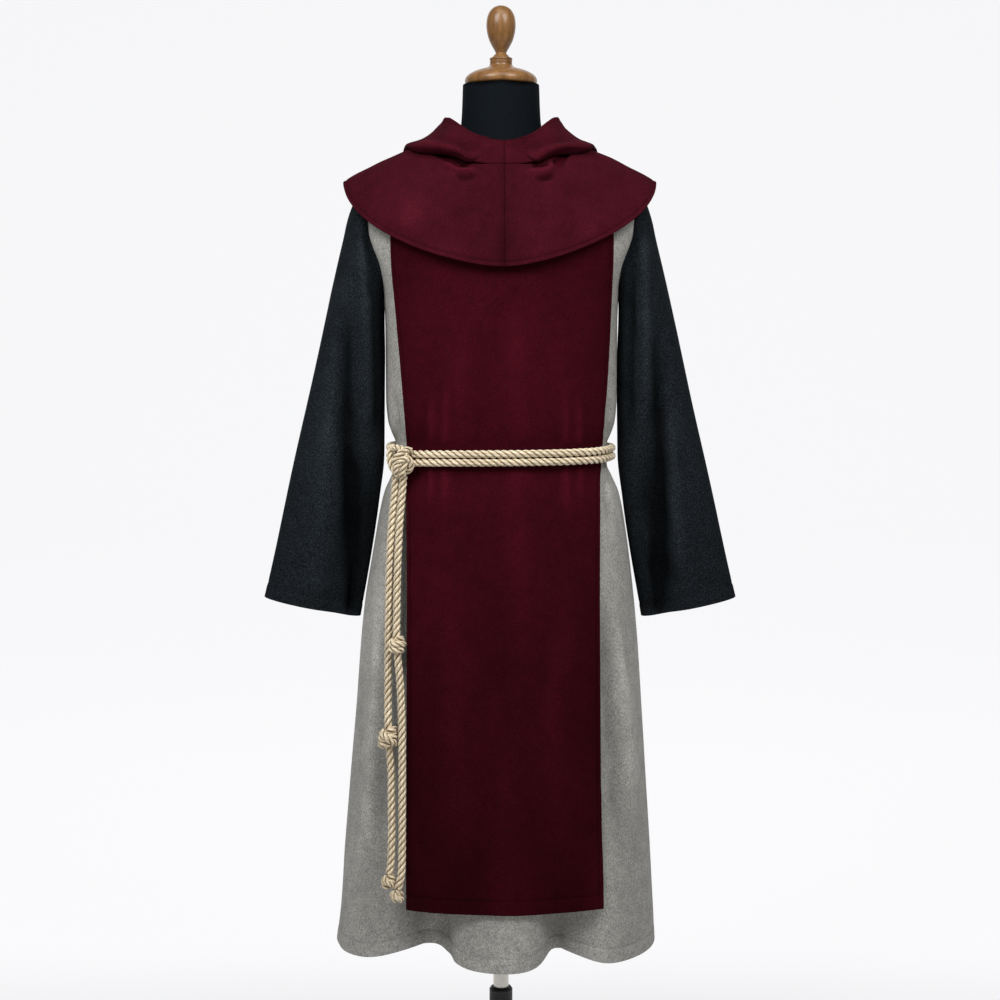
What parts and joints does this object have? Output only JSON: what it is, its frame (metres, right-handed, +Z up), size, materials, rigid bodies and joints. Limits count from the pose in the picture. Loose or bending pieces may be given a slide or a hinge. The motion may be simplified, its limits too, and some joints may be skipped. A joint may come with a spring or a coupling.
{
  "type": "monk habit on a dress form",
  "caption": "Long wool tunic with wide sleeves, a narrow scapular, a shoulder cape with turned-back hood and a knotted rope belt, on a limbless dress form with a round stand.",
  "frame": {"origin": "centre of the underside of the stand's base, on the floor", "axes": "+Z up, the front of the habit faces -Y, +X is to the right as seen from the front; left and right in node names are as seen from the front"},
  "size_m": [0.756, 0.3981, 1.7856],
  "materials": {
    "tunic": "grey melange wool, brushed",
    "sleeve": "blue-black wool, brushed",
    "scapular": "dark burgundy wool felt",
    "cape": "burgundy wool felt",
    "rope": "three-strand cotton rope, undyed",
    "jersey": "black jersey over foam",
    "wood": "turned, oiled",
    "steel": "satin",
    "base": "satin black",
    "collar": "satin black"
  },
  "bodies": {
    "stand": {"base": "base", "outer_tube": "steel", "clamp_collar": "collar"},
    "form": {"tunic_front": "tunic", "tunic_back": "tunic", "sleeve_right": "sleeve", "sleeve_left": "sleeve", "scapular_front": "scapular", "scapular_back": "scapular", "cape_right": "cape", "cape_left": "cape", "hood_right": "cape", "hood_left": "cape", "dress_form": "jersey", "neck_cap": "wood", "finial": "wood", "inner_pole": "steel", "belt_upper": "rope", "belt_lower": "rope", "belt_hitch": "rope", "strand_a_upper": "rope", "strand_a_lower": "rope", "strand_b_upper": "rope", "strand_b_lower": "rope", "strand_a_knot": "rope", "strand_a_tip": "rope", "strand_b_knot": "rope", "strand_b_tip": "rope"}
  },
  "joints": [
    {"name": "height_slide", "type": "slide", "parent": "stand", "child": "form", "axis": [0, 0, 1], "range_m": [-0.12, 0.02]}
  ]
}
